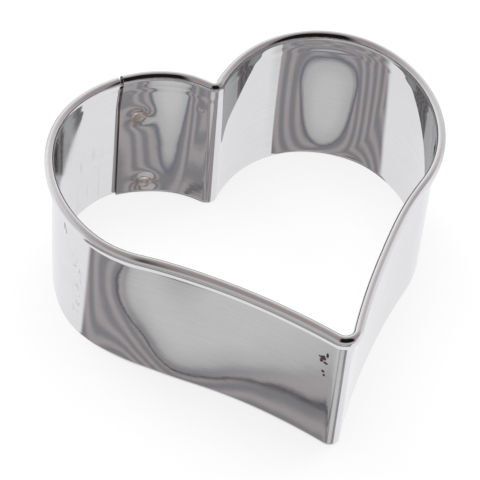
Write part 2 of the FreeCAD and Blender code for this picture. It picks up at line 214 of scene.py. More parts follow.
# How the sheet curls where it is bent, in mm: plan point, spread, reach up the wall, and how far the edge
# and the rim curl out. The rest of the wall moves the other way, by a share of that.
CURLS = [
    ((19.0, 22.8), 8.0, 4.0, 0.1, 0.15),
    ((-5.5, 23.3), 8.0, 4.0, 0, 0.08),
    ((-7.0, -16.0), 9.0, 8.0, -0.12, 0),
    ((-17.0, -6.5), 8.0, 6.0, -0.12, 0),
    ((-21.5, -2.5), 5.0, 12.0, -0.3, 0),
    ((-22.5, -1.5), 3.5, 7.0, 0, 0.24),
]
CURL_BALANCE = 0.5
# Small dents: length along the strip, height, reach and depth, in mm
DENTS = [(-83.5, 20.1, 0.6, -0.02)]
RIPPLE_RISE = 0.012 * MM
RIPPLE_SPREAD = Vector((6.0, 6.0, 11.0)) * MM
HEM_PRINT_DROP = 2.4 * MM
HEM_PRINT_RISE = 0.015 * MM
HEM_PRINT_REACH = 0.3 * MM


class Pen:
    """Draws a section as a chain of edges in the XZ plane: x runs outwards, z up."""

    def __init__(self, bm, x, z):
        self.bm = bm
        self.tip = bmesh.ops.create_vert(bm, co=(x, 0, z))["vert"][0]
        self.first = self.tip

    def walk(self, x, z, steps=1):
        stride = (Vector((x, 0, z)) - self.tip.co) / steps
        for _ in range(steps):
            self.tip = bmesh.ops.extrude_vert_indiv(self.bm, verts=[self.tip])["verts"][0]
            bmesh.ops.translate(self.bm, verts=[self.tip], vec=stride)

    def turn(self, centre, angle, steps):
        """Swings round a centre, from up towards outwards where the angle is positive."""
        swung = bmesh.ops.spin(
            self.bm, geom=[self.tip], cent=centre, axis=(0, 1, 0), angle=angle, steps=steps
        )
        self.tip = verts_of(swung["geom_last"])[0]

    def close(self):
        bmesh.ops.pointmerge(self.bm, verts=[self.first, self.tip], merge_co=self.first.co)


def verts_of(geometry):
    return [item for item in geometry if isinstance(item, bmesh.types.BMVert)]


def facing(lean):
    return Vector((math.sin(lean), 0, math.cos(lean)))


def draw_wall_down(pen):
    """Ends a section: down the outside of the wall, round the cutting edge and back to the start."""
    pen.walk(SHEET, EDGE_ROUND, WALL_ROWS)
    pen.turn((SHEET - EDGE_ROUND, 0, EDGE_ROUND), QUARTER, EDGE_STEPS)
    pen.walk(EDGE_ROUND, 0)
    pen.turn((EDGE_ROUND, 0, EDGE_ROUND), QUARTER, EDGE_STEPS)
    pen.close()


def hem_arcs():
    """Centre, angle and steps of each bend of the hem, with its crest at the strip's full height."""
    arcs = []
    lean = math.radians(WALL_LEAN)
    before = HEM_BENDS[0][0] * MM
    centre = Vector((before, 0, 0))
    crest = 0
    for radius, last, steps in HEM_BENDS:
        radius *= MM
        last = math.radians(last)
        centre = centre + facing(lean) * (before - radius)
        arcs.append((centre, last - lean, steps))
        if lean < 0 < last:
            crest = centre.z + radius
        lean = last
        before = radius
    lift = UP * (HEIGHT - crest)
    return [(centre + lift, angle, steps) for centre, angle, steps in arcs]


def draw_strip_section(bm):
    """Section of the hemmed strip: up the inside from the cutting edge, and over the hem."""
    hem = hem_arcs()
    leg_radius, leg_lean, _ = HEM_BENDS[-1]
    leg_lean = math.radians(leg_lean)
    wall_top = hem[0][0].z
    top_rows = round((wall_top - TONGUE_TOP) / TOP_ROW_STEP)
    outward = facing(leg_lean)
    raw_edge = hem[-1][0] + outward * leg_radius * MM
    outer_round = raw_edge - outward * EDGE_ROUND
    inner_round = raw_edge - outward * (SHEET - EDGE_ROUND)
    pen = Pen(bm, 0, EDGE_ROUND)
    pen.walk(0, TONGUE_TOP, WALL_ROWS)
    pen.walk(0, wall_top, top_rows)
    for centre, angle, steps in hem:
        pen.turn(centre, angle, steps)
    pen.turn(outer_round, QUARTER, EDGE_STEPS)
    pen.walk(*(inner_round + facing(leg_lean + QUARTER) * EDGE_ROUND).xz)
    pen.turn(inner_round, QUARTER, EDGE_STEPS)
    for centre, angle, steps in reversed(hem):
        pen.turn(centre, -angle, steps)
    pen.walk(SHEET, TONGUE_TOP, top_rows)
    draw_wall_down(pen)


def draw_tongue_section(bm):
    """Section of the plain wall that runs on behind the lap."""
    pen = Pen(bm, 0, EDGE_ROUND)
    pen.walk(0, TONGUE_TOP, WALL_ROWS)
    pen.walk(SHEET, TONGUE_TOP)
    draw_wall_down(pen)


class Sheet:
    """A mesh of bent sheet, with each vertex's place on the flat strip and the way its outside faces."""

    def __init__(self):
        self.bm = bmesh.new()
        layers = self.bm.verts.layers.float
        self.along = layers.new("along")
        self.across = layers.new("across")
        self.out_angle = layers.new("out_angle")

    def note(self, verts, along, out_angle):
        for vert in verts:
            vert[self.along] = along / MM
            vert[self.out_angle] = out_angle

    def take(self, other):
        """Takes over another sheet's mesh."""
        scrap = bpy.data.meshes.new("scrap")
        other.bm.to_mesh(scrap)
        other.bm.free()
        self.bm.from_mesh(scrap)
        bpy.data.meshes.remove(scrap)


def sweep_bend(draw_section, bend, along, out_angle):
    """One bend of the strip, swept from a section that stands at its start."""
    sheet = Sheet()
    draw_section(sheet.bm)
    for vert in sheet.bm.verts:
        vert[sheet.across] = vert.co.x / MM
    sheet.note(sheet.bm.verts, along, out_angle)
    start = bend.centre + spoke(out_angle) * math.copysign(bend.radius, -bend.angle)
    place = Matrix.Translation(start) @ Matrix.Rotation(out_angle, 4, "Z")
    bmesh.ops.transform(sheet.bm, matrix=place, verts=sheet.bm.verts)
    ring = sheet.bm.verts[:] + sheet.bm.edges[:]
    turn = bend.angle / bend.steps
    for step in range(bend.steps):
        swung = bmesh.ops.spin(sheet.bm, geom=ring, cent=bend.centre, axis=UP, angle=turn, steps=1)
        ring = swung["geom_last"]
        done = (step + 1) / bend.steps
        sheet.note(verts_of(ring), along + bend.length * done, out_angle + bend.angle * done)
    return sheet


class Weld:
    """One spot weld. Its axis points out from the left lobe's centre, where the CAD node stands."""

    def __init__(self, node):
        low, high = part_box(node)
        middle = (low + high) / 2
        self.node = node
        self.height = middle.z
        self.aim = heading(LEFT_LOBE, middle)

    def offset(self, point):
        """The way from the axis to a point of the lap: along the strip, and up."""
        return Vector(((heading(LEFT_LOBE, point) - self.aim) * CROWN_RADIUS, point.z - self.height))

    def place(self, offset, depth):
        """The point at an offset from the axis and a depth from the inside face."""
        out = spoke(self.aim + offset.x / CROWN_RADIUS)
        return LEFT_LOBE + out * (CROWN_RADIUS + depth) + UP * (self.height + offset.y)


WELDS = [Weld("upper_spot_weld"), Weld("lower_spot_weld")]


def lap_depth(point):
    """Depth of a point of the lap from the inside face."""
    return (point - LEFT_LOBE).xy.length - CROWN_RADIUS


def bell(distance, reach):
    return math.exp(-((distance / reach) ** 2))


def spring_shift(point):
    """How far the sheet has sprung at a point of the true heart."""
    rise = point.z / HEIGHT
    shift = Vector((0, 0))
    for place, reach, rim, edge in SPRINGS:
        weight = bell((point.xy / MM - Vector(place)).length, reach)
        shift += Vector(edge).lerp(Vector(rim), rise) * weight * MM
    return shift.to_3d()


def ripple_shift(point):
    spread = Vector(point[axis] / RIPPLE_SPREAD[axis] for axis in range(3))
    return RIPPLE_RISE * noise.noise(spread)


def pinch_shift(point):
    """How far the electrodes pressed the lap's faces towards each other."""
    depth = lap_depth(point)
    if abs(depth - LAP_THICKNESS / 2) > LAP_THICKNESS:
        return 0
    squeeze = sum(bell(weld.offset(point).length, PINCH_REACH) for weld in WELDS)
    return PINCH_DEPTH * squeeze * (1 - 2 * depth / LAP_THICKNESS)


def curl_shift(point):
    """How far the sheet curls out towards its edge and its rim, and the other way between them."""
    shift = 0
    for place, spread, reach, edge, rim in CURLS:
        weight = bell((point.xy / MM - Vector(place)).length, spread) * MM
        shift += weight * edge * (math.exp(-point.z / MM / reach) - CURL_BALANCE)
        shift += weight * rim * (math.exp((point.z - HEIGHT) / MM / reach) - CURL_BALANCE)
    return shift


def hem_print_shift(point):
    """The raw edge of the hem shows through the wall as a faint ridge."""
    return -HEM_PRINT_RISE * bell(point.z - HEIGHT + HEM_PRINT_DROP, HEM_PRINT_REACH)


def dent_shift(along, height):
    shift = 0
    for place, rise, reach, depth in DENTS:
        shift += depth * MM * bell(math.hypot(along / MM - place, height / MM - rise), reach)
    return shift


def bulge_shift(beyond):
    """How far the outer end stands off at the seam, which leaves a dark crack beside the inner end."""
    reach = TONGUE_BULGE_REACH if beyond > 0 else SEAM_BULGE_REACH
    return SEAM_BULGE * math.exp(-abs(beyond) / reach)


def flat_end_shift(along):
    """The last of the inner end stayed straight when the strip was bent."""
    short = max(0, FLAT_END - (along - INNER_END))
    return short**2 / (2 * CROWN_RADIUS)


def hem_slide(along, height):
    """How far the two ends of the hem lean along the strip, towards the notch."""
    from_end = min(along - INNER_END, abs(along - HEM_END))
    rise = max(0, height - HEM_SLIDE_START) / (HEIGHT - HEM_SLIDE_START)
    return HEM_SLIDE * bell(from_end, HEM_SLIDE_REACH) * rise


def hem_drop(beyond, height):
    """How far the hem sinks towards its outer end."""
    reach = TONGUE_DROP_REACH if beyond > 0 else HEM_DROP_REACH
    return HEM_DROP * bell(beyond, reach) * (height / HEIGHT) ** HEM_DROP_POWER


def settled(point, outward, is_wall):
    """Where a point of the true heart lies on the worn cutter."""
    press = ripple_shift(point) + pinch_shift(point) + curl_shift(point)
    if is_wall:
        press += hem_print_shift(point)
    return point + spring_shift(point) + outward * press


def cut_weld_hole(bm, weld, sheet_depth):
    """Opens one sheet of the lap for a weld, with a round wall between its two faces."""
    middle = sheet_depth + SHEET / 2
    sheet = [vert for vert in bm.verts if abs(lap_depth(vert.co) - middle) < SHEET / 2 + TINY]
    inside = [vert for vert in sheet if weld.offset(vert.co).length < WELD_RADIUS]
    bmesh.ops.delete(bm, geom=inside, context="VERTS")
    rim = [edge for edge in bm.edges if edge.is_boundary]
    for vert in {vert for edge in rim for vert in edge.verts}:
        vert.co = weld.place(weld.offset(vert.co).normalized() * WELD_RADIUS, lap_depth(vert.co))
    bmesh.ops.bridge_loops(bm, edges=rim)


def add_object(name, data):
    added = bpy.data.objects.new(name, data)
    bpy.context.scene.collection.objects.link(added)
    return added


def add_mesh(name, bm, material):
    mesh = bpy.data.meshes.new(name)
    bm.to_mesh(mesh)
    bm.free()
    mesh.materials.append(material)
    return add_object(name, mesh)


def finish_mesh(bm, name, node, material):
    """Makes one finished piece, which stands for a CAD node."""
    bmesh.ops.recalc_face_normals(bm, faces=bm.faces)
    for face in bm.faces:
        face.smooth = True
    for edge in bm.edges:
        edge.smooth = edge.calc_face_angle(0) < SHARP_ANGLE
    piece = add_mesh(name, bm, material)
    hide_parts(node)
    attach(piece, "root")


def make_strip(material):
    """The hemmed strip and its tongue, opened for the welds and then settled."""
    sheet = Sheet()
    bm = sheet.bm
    along = INNER_END
    out_angle = SEAM_ANGLE
    for bend in BENDS_TO_TIP + [TIP_BEND] + BENDS_FROM_TIP:
        sheet.take(sweep_bend(draw_strip_section, bend, along, out_angle))
        along += bend.length
        out_angle += bend.angle
    sheet.take(sweep_bend(draw_tongue_section, TONGUE_BEND, along, out_angle))
    bmesh.ops.remove_doubles(bm, verts=bm.verts, dist=TINY)
    bmesh.ops.holes_fill(bm, edges=[edge for edge in bm.edges if edge.is_boundary], sides=0)
    for weld in WELDS:
        cut_weld_hole(bm, weld, 0)
        cut_weld_hole(bm, weld, SHEET + LAP_GAP)
    for vert in bm.verts:
        along = vert[sheet.along] * MM
        outward = spoke(vert[sheet.out_angle])
        is_wall = vert[sheet.across] < (SHEET + TINY) / MM
        height = vert.co.z
        press = dent_shift(along, height) + bulge_shift(along - HEM_END) + flat_end_shift(along)
        slide = outward.cross(UP) * hem_slide(along, height)
        drop = UP * hem_drop(along - HEM_END, height)
        vert.co = settled(vert.co, outward, is_wall) + outward * press + slide - drop
    finish_mesh(bm, "strip", "heart_strip", material)


def make_nugget(weld, material):
    """The fused metal of one weld, dished on both sides and bent with the lap."""
    bm = bmesh.new()
    dish_sphere = (DISH_RADIUS**2 + DISH_DEPTH**2) / (2 * DISH_DEPTH)
    dish_angle = math.asin(DISH_RADIUS / dish_sphere)
    pen = Pen(bm, 0, DISH_DEPTH)
    pen.turn((0, 0, DISH_DEPTH - dish_sphere), dish_angle, DISH_STEPS)
    pen.walk(NUGGET_RADIUS, 0, LIP_STEPS)
    pen.walk(NUGGET_RADIUS, LAP_THICKNESS, NUGGET_ROWS)
    pen.walk(DISH_RADIUS, LAP_THICKNESS, LIP_STEPS)
    pen.turn((0, 0, LAP_THICKNESS - DISH_DEPTH + dish_sphere), dish_angle, DISH_STEPS)
    bmesh.ops.spin(
        bm,
        geom=bm.verts[:] + bm.edges[:],
        cent=(0, 0, 0),
        axis=UP,
        angle=math.tau,
        steps=NUGGET_SIDES,
        use_merge=True,
    )
    bmesh.ops.remove_doubles(bm, verts=bm.verts, dist=TINY)
    for vert in bm.verts:
        point = weld.place(vert.co.xy, vert.co.z)
        vert.co = settled(point, spoke(heading(LEFT_LOBE, point)), True)
    finish_mesh(bm, weld.node + "_nugget", weld.node, material)


class Signal:
    """One value of a material, which is added, multiplied and compared like a number."""

    def __init__(self, finish, socket):
        self.finish = finish
        self.socket = socket

    def __add__(self, other):
        return self.finish.math("ADD", self, other)

    __radd__ = __add__

    def __sub__(self, other):
        return self.finish.math("SUBTRACT", self, other)

    def __rsub__(self, other):
        return self.finish.math("SUBTRACT", other, self)

    def __mul__(self, other):
        return self.finish.math("MULTIPLY", self, other)

    __rmul__ = __mul__

    def __truediv__(self, other):
        return self.finish.math("DIVIDE", self, other)

    def __pow__(self, other):
        return self.finish.math("POWER", self, other)

    def held(self, low, high):
        """Kept between two values."""
        return self.finish.math("MINIMUM", self.finish.math("MAXIMUM", self, low), high)

    def above(self, low, high):
        """Rises smoothly from 0 to 1 between two values."""
        settings = {"interpolation_type": "SMOOTHSTEP"}
        sockets = {"Value": self, "From Min": low, "From Max": high}
        return self.finish.node("ShaderNodeMapRange", settings, sockets)

    def between(self, low, high, soft):
        """1 between two values, with soft edges."""
        return self.above(low - soft, low + soft) * (1 - self.above(high - soft, high + soft))


class Finish:
    """The node tree of one material or of the world."""

    def __init__(self, owner):
        owner.use_nodes = True
        self.tree = owner.node_tree
        self.tree.nodes.clear()

    def node(self, kind, settings=None, sockets=None, out=0):
        node = self.tree.nodes.new(kind)
        for name, value in (settings or {}).items():
            setattr(node, name, value)
        for name, value in (sockets or {}).items():
            if isinstance(value, Signal):
                self.tree.links.new(value.socket, node.inputs[name])
            else:
                node.inputs[name].default_value = value
        return Signal(self, node.outputs[out]) if node.outputs else None

    def math(self, operation, first, second=0.0):
        return self.node("ShaderNodeMath", {"operation": operation}, {0: first, 1: second})

    def blend(self, share, first, second):
        """Mixes two colours."""
        return self.node("ShaderNodeMix", {"data_type": "RGBA"}, {0: share, 6: first, 7: second}, 2)

    def grain(self, place, scale, detail, roughness=0.5):
        """Cloudy noise between 0 and 1."""
        sockets = {"Vector": place, "Scale": scale, "Detail": detail, "Roughness": roughness}
        return self.node("ShaderNodeTexNoise", None, sockets)

    def strip_place(self):
        """Length along the strip, height and depth through the sheet, all in millimetres."""
        place = self.node("ShaderNodeTexCoord", out="Object")
        height = self.node("ShaderNodeSeparateXYZ", None, {0: place}, "Z") / MM
        along = self.node("ShaderNodeAttribute", {"attribute_name": "along"}, out="Fac")
        across = self.node("ShaderNodeAttribute", {"attribute_name": "across"}, out="Fac")
        return along, height, across

    def strip_grain(self, strip_place, fineness, detail, roughness):
        """Cloudy noise that is stretched along the strip, up it and through it."""
        stretched = {axis: strip_place[axis] * fineness[axis] for axis in range(3)}
        place = self.node("ShaderNodeCombineXYZ", None, stretched)
        return self.grain(place, 1.0, detail, roughness)

    def light_path(self, kind):
        return self.node("ShaderNodeLightPath", out=kind)

    def mix_shaders(self, share, first, second):
        return self.node("ShaderNodeMixShader", None, {0: share, 1: first, 2: second})

    def bump(self, relief, strength, distance):
        sockets = {"Strength": strength, "Distance": distance, "Height": relief}
        return self.node("ShaderNodeBump", None, sockets)

    def surface(self, shader):
        """Gives the material its shader."""
        self.node("ShaderNodeOutputMaterial", None, {"Surface": shader})

    def metal_surface(self, base, metallic, roughness, bump):
        sockets = {"Base Color": base, "Metallic": metallic, "Roughness": roughness, "Normal": bump}
        self.surface(self.node("ShaderNodeBsdfPrincipled", None, sockets))


def colour(red, green, blue):
    return (red, green, blue, 1.0)


def zone(across, up, wide, high):
    """1 in a zone that lies between two values each way, with soft edges."""
    return across.between(*wide) * up.between(*high)


# Between which half heights from its middle a tapered oval narrows
TAPER_SPAN = (-2.0, 0.2)


def oval(across, up, place, rise, half_width, half_height, taper=0.0):
    """How far a point lies from the middle of an oval, with 1 on its outline. A taper narrows its foot."""
    aside = (across - place) / half_width
    above = (up - rise) / half_height
    if taper:
        narrowing = above.held(*TAPER_SPAN) * -taper
        aside = aside * narrowing.finish.math("EXPONENT", narrowing)
    return (aside**2 + above**2) ** 0.5


# Marks on the steel: length along the strip and height in mm, with the half width and half height
RUST_MARKS = [
    (3.3, 18.35, 0.26, 0.2),
    (2.8, 18.3, 0.4, 0.5),
    (2.25, 19.2, 0.2, 0.55),
    (3.05, 17.6, 0.28, 0.3),
    (2.4, 17.45, 0.34, 0.28),
    (2.62, 15.5, 0.26, 0.3),
    (2.42, 14.8, 0.2, 0.3),
]
SCUFF_MARKS = [
    (42.5, 19.9, 0.22, 0.75),
    (42.05, 19.3, 0.14, 0.5),
]
HEAT_MARKS = [(-92.4, 16.7, 2.1, 2.1), (-91.15, 2.3, 2.0, 2.0)]
MARK_EDGE = (0.8, 1.15)
RUST_RAGGED = 1.2
SCUFF_RAGGED = 2.2
HEAT_RAGGED = 0.8

# Zones of the steel in mm: from where to where each lies along the strip and up it, and how soft it ends
WORN_ZONE = ((38.0, 41.0, 1.0), (3.0, 17.0, 2.0))
SCRAPED_ZONE = ((60.5, 65.5, 1.0), (1.0, 12.0, 2.0))
DULL_LENGTH = (51.0, 61.0, 2.0)

# In mm: between which depths through the sheet its outside begins, between which heights the darker brown at
# the foot ends, and how far from an end of the strip the dark cut face ends. That dark is partly the raw
# cut's own colour and partly painted shade of the crack at the seam.
OUTSIDE_DEPTH = (0.15, 0.3)
FOOT_HEIGHT = (0.03, 0.12)
CUT_FADE = (0.005, 0.02)

# Grains of the steel: how fine each is per mm along the strip, up it and through it, and the detail and
# roughness of its noise
ROLLING_GRAIN = ((0.08, 4.0, 1.0), 3.0, 0.5)
CLOUD_GRAIN = ((0.25, 0.25, 0.25), 3.0, 0.5)
HAZE_GRAIN = ((3.0, 3.0, 3.0), 3.0, 0.5)
WAVE_GRAIN = ((0.5, 0.35, 1.0), 2.0, 0.5)
SCRATCH_GRAIN = ((2.6, 0.22, 2.0), 4.0, 0.7)
SCRAPE_GRAIN = ((4.0, 0.14, 1.0), 3.0, 0.6)
PIT_GRAIN = ((1.6, 0.96, 1.6), 6.0, 0.7)
GRAIN_MIDDLE = 0.5

# Between which values of its grain each kind of mark comes up, and how much sooner pits do where it is worn
LINE_EDGE = (0.35, 0.65)
SCRATCH_EDGE = (0.66, 0.74)
SCRAPE_EDGE = (0.58, 0.66)
PIT_EDGE = (0.69, 0.73)
WORN_LEAD = 0.14

# Colours of the steel and its marks, and how much of the steel each kind of mark covers
STEEL_DARK = colour(0.78, 0.78, 0.795)
STEEL_LIGHT = colour(0.82, 0.82, 0.83)
LINE_GREY = colour(0.55, 0.545, 0.55)
HAZE_GREY = colour(0.6, 0.595, 0.6)
HEAT_BROWN = colour(0.5, 0.42, 0.36)
FOOT_BROWN = colour(0.45, 0.36, 0.28)
PIT_GREY = colour(0.4, 0.39, 0.34)
SCRAPE_GREY = colour(0.42, 0.41, 0.4)
# Dark brown of the cut faces: partly the raw cut's own colour, partly painted shade of the crack at the seam
CUT_BROWN_AND_SEAM_SHADE = colour(0.16, 0.12, 0.1)
SCUFF_GREY = colour(0.2, 0.2, 0.22)
RUST_BROWN = colour(0.07, 0.012, 0.008)
ROLLING_COVER = 0.1
SCRATCH_COVER = 0.14
HAZE_COVER = 0.12
HEAT_COVER = 0.35
FOOT_COVER = 0.6
PIT_COVER = 0.2
WORN_PIT_COVER = 0.3
SCRAPE_COVER = 0.4
HEM_CUT_COVER = 0.5
SCUFF_COVER = 0.75

# Roughness of the polished steel, what each mark adds to it, and how much of the metal the rust hides
POLISH = 0.01
GRAIN_DULLNESS = 0.012
SCRATCH_DULLNESS = 0.05
RUST_DULLNESS = 0.4
SCUFF_DULLNESS = 0.2
DULL_LENGTH_DULLNESS = 0.13
RUST_CRUST = 0.9

# Relief of the steel: the shares of its grains and marks, and the strength and height of the whole
WAVE_RELIEF = 0.4
ROLLING_RELIEF = 0.12
SCRATCH_RELIEF = 0.02
PIT_RELIEF = 0.2
STEEL_BUMP = 0.12
STEEL_BUMP_HEIGHT = 0.02 * MM


def marks(places, along, height, ragged):
    """1 on the marks, with edges that a noise makes ragged."""
    bare = 1.0
    for place in places:
        bare = bare * (oval(along, height, *place) + ragged).above(*MARK_EDGE)
    return 1 - bare


def bright_steel():
    """Rolled and polished sheet: rolling lines, scratches, stains, and cut ends darkened partly by painted
    shade.
    """
    material = bpy.data.materials.new("bright_steel_finish")
    finish = Finish(material)
    place = finish.strip_place()
    along, height, across = place
    outside = across.above(*OUTSIDE_DEPTH)
    inside = 1 - outside

    rolling = finish.strip_grain(place, *ROLLING_GRAIN)
    cloud = finish.strip_grain(place, *CLOUD_GRAIN)
    haze = finish.strip_grain(place, *HAZE_GRAIN)
    wave = finish.strip_grain(place, *WAVE_GRAIN)
    scratch = finish.strip_grain(place, *SCRATCH_GRAIN).above(*SCRATCH_EDGE)
    scrapes = finish.strip_grain(place, *SCRAPE_GRAIN).above(*SCRAPE_EDGE)
    scrapes = scrapes * zone(along, height, *SCRAPED_ZONE) * inside
    worn = zone(along, height, *WORN_ZONE) * outside
    pits = (finish.strip_grain(place, *PIT_GRAIN) + worn * WORN_LEAD).above(*PIT_EDGE)

    swing = haze - GRAIN_MIDDLE
    rust = marks(RUST_MARKS, along, height, swing * RUST_RAGGED) * outside
    scuff = marks(SCUFF_MARKS, along, height, swing * SCUFF_RAGGED) * outside
    heat = marks(HEAT_MARKS, along, height, swing * HEAT_RAGGED)
    # Darker and browner along the lowest tenth of a millimetre of the wall, at the cutting edge
    foot = 1 - height.above(*FOOT_HEIGHT)
    fade_start, fade_end = CUT_FADE
    # The cut faces at the seam: their own dark colour, and painted shade of the crack between the laps
    inner_cut = 1 - along.above(INNER_END / MM + fade_start, INNER_END / MM + fade_end)
    hem_cut = along.above(HEM_END / MM - fade_end, HEM_END / MM - fade_start)
    hem_cut = hem_cut * height.above(TONGUE_TOP / MM, HEIGHT / MM)

    layers = [
        (rolling.above(*LINE_EDGE) * ROLLING_COVER + scratch * SCRATCH_COVER, LINE_GREY),
        (haze.above(*LINE_EDGE) * HAZE_COVER, HAZE_GREY),
        (heat * HEAT_COVER, HEAT_BROWN),
        (foot * FOOT_COVER, FOOT_BROWN),
        (pits * (PIT_COVER + worn * WORN_PIT_COVER), PIT_GREY),
        (scrapes * SCRAPE_COVER, SCRAPE_GREY),
        (inner_cut + hem_cut * HEM_CUT_COVER, CUT_BROWN_AND_SEAM_SHADE),
        (scuff * SCUFF_COVER, SCUFF_GREY),
        (rust, RUST_BROWN),
    ]
    base = finish.blend(cloud, STEEL_DARK, STEEL_LIGHT)
    for cover, tint in layers:
        base = finish.blend(cover, base, tint)
    roughness = (
        POLISH
        + (rolling + cloud) * GRAIN_DULLNESS
        + scratch * SCRATCH_DULLNESS
        + rust * RUST_DULLNESS
        + scuff * SCUFF_DULLNESS
        + along.between(*DULL_LENGTH) * inside * DULL_LENGTH_DULLNESS
    )
    relief = wave * WAVE_RELIEF + rolling * ROLLING_RELIEF - scratch * SCRATCH_RELIEF - pits * PIT_RELIEF
    bump = finish.bump(relief, STEEL_BUMP, STEEL_BUMP_HEIGHT)
    finish.metal_surface(base, 1 - rust * RUST_CRUST, roughness, bump)
    return material


# Weld metal: a fine grain and brown patches, both with their fineness per metre and their detail
WELD_GRAIN = (1400.0, 3.0)
WELD_PATCHES = (900.0, 1.0)
WELD_PATCH_EDGE = (0.42, 0.58)
WELD_PATCH_COVER = 0.8
WELD_DARK = colour(0.6, 0.56, 0.53)
WELD_LIGHT = colour(0.76, 0.74, 0.72)
WELD_BROWN = colour(0.4, 0.3, 0.25)
WELD_POLISH = 0.12
WELD_DULLNESS = 0.1
WELD_BUMP = 0.4
WELD_BUMP_HEIGHT = 0.03 * MM


def weld_metal():
    """Dull fused metal with brown patches."""
    material = bpy.data.materials.new("weld_metal_finish")
    finish = Finish(material)
    place = finish.node("ShaderNodeTexCoord", out="Object")
    grain = finish.grain(place, *WELD_GRAIN)
    patch = finish.grain(place, *WELD_PATCHES).above(*WELD_PATCH_EDGE)
    base = finish.blend(grain, WELD_DARK, WELD_LIGHT)
    base = finish.blend(patch * WELD_PATCH_COVER, base, WELD_BROWN)
    roughness = WELD_POLISH + (grain + patch) * WELD_DULLNESS
    finish.metal_surface(base, 1.0, roughness, finish.bump(grain, WELD_BUMP, WELD_BUMP_HEIGHT))
    return material


# Table: how clearly the steel sees through it, how much of its white the eye sees without shadow, and its
# grain, with its fineness per metre and its detail
TABLE_SIZE = 4.0
TABLE_CLARITY = 0.95
BACKDROP_SHARE = 0.82
TABLE_GRAIN = (40.0, 2.0)
TABLE_DARK = colour(0.9, 0.9, 0.9)
TABLE_LIGHT = colour(0.92, 0.92, 0.92)
WHITE = colour(1, 1, 1)


def glass_table():
    """A white table that the steel sees as glass, while the eye sees its plain white and a soft shadow."""
    material = bpy.data.materials.new("glass_table")
    finish = Finish(material)
    place = finish.node("ShaderNodeTexCoord", out="Object")
    base = finish.blend(finish.grain(place, *TABLE_GRAIN), TABLE_DARK, TABLE_LIGHT)
    white = finish.node("ShaderNodeBsdfDiffuse", None, {"Color": base})
    backdrop = finish.node("ShaderNodeEmission", None, {"Color": WHITE, "Strength": 1.0})
    glass = finish.node("ShaderNodeBsdfTransparent")
    shader = finish.mix_shaders(finish.light_path("Is Camera Ray") * BACKDROP_SHARE, white, backdrop)
    shader = finish.mix_shaders(finish.light_path("Is Glossy Ray") * TABLE_CLARITY, shader, glass)
    finish.surface(shader)
    return material


def make_table():
    bm = bmesh.new()
    bmesh.ops.create_grid(bm, x_segments=1, y_segments=1, size=TABLE_SIZE / 2)
    add_mesh("table", bm, glass_table())


# Camera, at the photograph's viewing angle
CAMERA_AZIMUTH = math.radians(-26.27)
CAMERA_ELEVATION = math.radians(51.43)
CAMERA_ROLL = math.radians(5.52)
CAMERA_DISTANCE = 387.75 * MM
CAMERA_AIM = Vector((1.31, 11.67, 0)) * MM
CAMERA_LENS = 204.31
CAMERA_SENSOR = 36.0
CAMERA_CLIP = 0.01


def way_to(azimuth, elevation):
    """The way from the object to an eye or a lamp: azimuth 0 stands in front, at -Y."""
    level = math.cos(elevation)
    return Vector((math.sin(azimuth) * level, -math.cos(azimuth) * level, math.sin(elevation)))


def make_camera():
    back = way_to(CAMERA_AZIMUTH, CAMERA_ELEVATION)
    right = spoke(CAMERA_AZIMUTH)
    rise = back.cross(right)
    axes = Matrix((
        right * math.cos(CAMERA_ROLL) + rise * math.sin(CAMERA_ROLL),
        rise * math.cos(CAMERA_ROLL) - right * math.sin(CAMERA_ROLL),
        back,
    )).transposed()
    data = bpy.data.cameras.new("camera")
    data.sensor_width = CAMERA_SENSOR
    data.lens = CAMERA_LENS
    data.clip_start = CAMERA_CLIP
    camera = add_object("camera", data)
    camera.matrix_world = Matrix.Translation(CAMERA_AIM + back * CAMERA_DISTANCE) @ axes.to_4x4()
    bpy.context.scene.camera = camera


# Softboxes: name, azimuth and elevation in degrees, size in metres and power. The steel doesn't mirror them.
SOFTBOXES = [
    ("back_left_softbox", 207, 45, 0.3, 1.2),
    ("right_softbox", 105, 40, 0.3, 1.2),
    ("overhead_softbox", 180, 85, 0.5, 3.5),
]
SOFTBOX_DISTANCE = 0.6


def make_softbox(name, azimuth, elevation, size, power):
    data = bpy.data.lights.new(name, "AREA")
    data.shape = "SQUARE"
    data.size = size
    data.energy = power
    way = way_to(math.radians(azimuth), math.radians(elevation))
    lamp = add_object(name, data)
    lamp.location = way * SOFTBOX_DISTANCE
    lamp.rotation_euler = way.to_track_quat("Z", "Y").to_euler()
    lamp.visible_glossy = False


# The room as the steel mirrors it, in degrees of azimuth and elevation: white below and far away, a mauve
# ceiling that darkens towards the camera, pale panels at the sides, the dark camera end, and a dim front
# with pleated cloth, in which three long diffusers stand. Where a range has a third number, that says how
# soft its ends are.
DEGREES = math.degrees(1)
HORIZON = (-6, 10)
BELOW = colour(0.91, 0.91, 0.9191)
CEILING_MIDDLE = (-5, 30)
CEILING_REACH = (50, 140)
CEILING_MAUVE = colour(0.37, 0.32, 0.32)
DRAPE_GRAIN = (3.0, 2.0)
SIDE_HEIGHT = (-38, 4, 7)
SIDE_PANELS = 5
SIDE_SWAY = 3
SIDE_GREY = colour(0.66, 0.66, 0.67)
SIDE_WHITE = colour(0.94, 0.94, 0.945)
DIM_FRONT = ((-95, 38, 6), (-46, 6, 5))
FRONT_GREY = colour(0.52, 0.51, 0.49)
CAMERA_END = ((-48, 33, 9), (-8, 72, 5))
CAMERA_END_DARK = colour(0.014, 0.009, 0.009)

